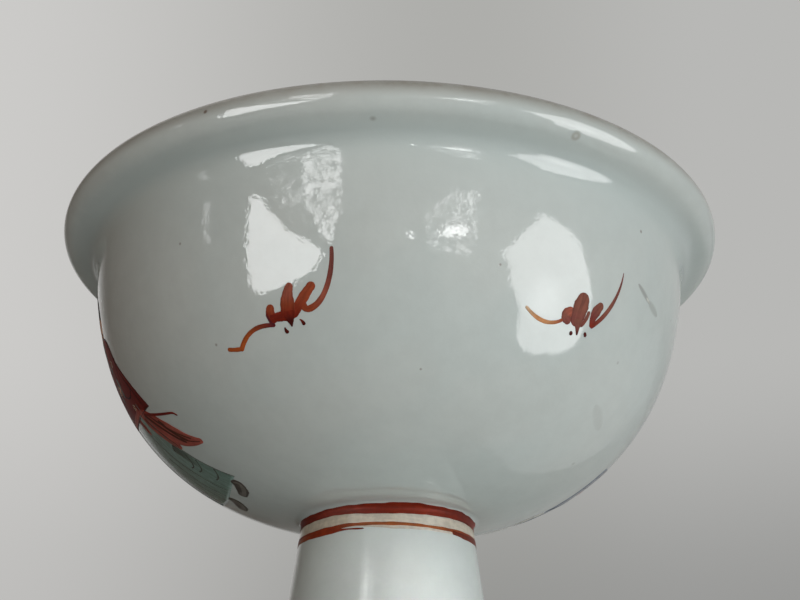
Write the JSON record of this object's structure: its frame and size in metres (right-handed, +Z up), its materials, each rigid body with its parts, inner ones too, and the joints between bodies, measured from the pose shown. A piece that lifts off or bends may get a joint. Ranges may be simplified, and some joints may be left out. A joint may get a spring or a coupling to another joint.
{
  "type": "stem cup",
  "caption": "Porcelain stem cup: a deep glazed bowl with a rolled lip on a hollow spreading stem, with iron-red bands and painted bats and robed figures.",
  "frame": {"origin": "centre of the foot ring, on the surface the cup stands on", "axes": "+Z up along the cup's axis, -Y towards the side that the picture shows"},
  "size_m": [0.088, 0.088, 0.084],
  "materials": {
    "porcelain_clay": "bare fired porcelain, fine and matt",
    "joining_slip": "bare fired slip, matt",
    "clear_glaze": "glossy, faintly blue-green white",
    "iron_red_enamel": "dark iron red, soft gloss",
    "pale_wash": "thin beige-pink wash, soft gloss",
    "orange_red_enamel": "orange red, soft gloss",
    "bat_enamel": "see-through iron red, soft gloss",
    "turquoise_enamel": "glassy turquoise green",
    "red_enamel": "iron red, soft gloss",
    "pink_enamel": "milky pink, soft gloss",
    "flesh_enamel": "pale flesh tone, soft gloss",
    "black_enamel": "brown black, soft gloss",
    "blue_enamel": "glassy blue",
    "yellow_enamel": "milky yellow, soft gloss"
  },
  "bodies": {
    "root": {"bowl": "porcelain_clay", "stem": "porcelain_clay", "luting_slip": "joining_slip", "outer_glaze": "clear_glaze", "inner_glaze": "clear_glaze", "stem_glaze": "clear_glaze", "upper_neck_band": "iron_red_enamel", "neck_wash": "pale_wash", "lower_neck_band": "orange_red_enamel", "left_bat": "bat_enamel", "right_bat": "bat_enamel", "back_bat": "bat_enamel", "left_robe": "turquoise_enamel", "left_jacket": "red_enamel", "left_sash": "pink_enamel", "left_skin": "flesh_enamel", "left_hair": "black_enamel", "left_shoes": "black_enamel", "right_robe": "blue_enamel", "right_jacket": "yellow_enamel", "right_sash": "pink_enamel", "right_skin": "flesh_enamel", "right_hair": "black_enamel", "right_shoes": "black_enamel"}
  },
  "joints": []
}
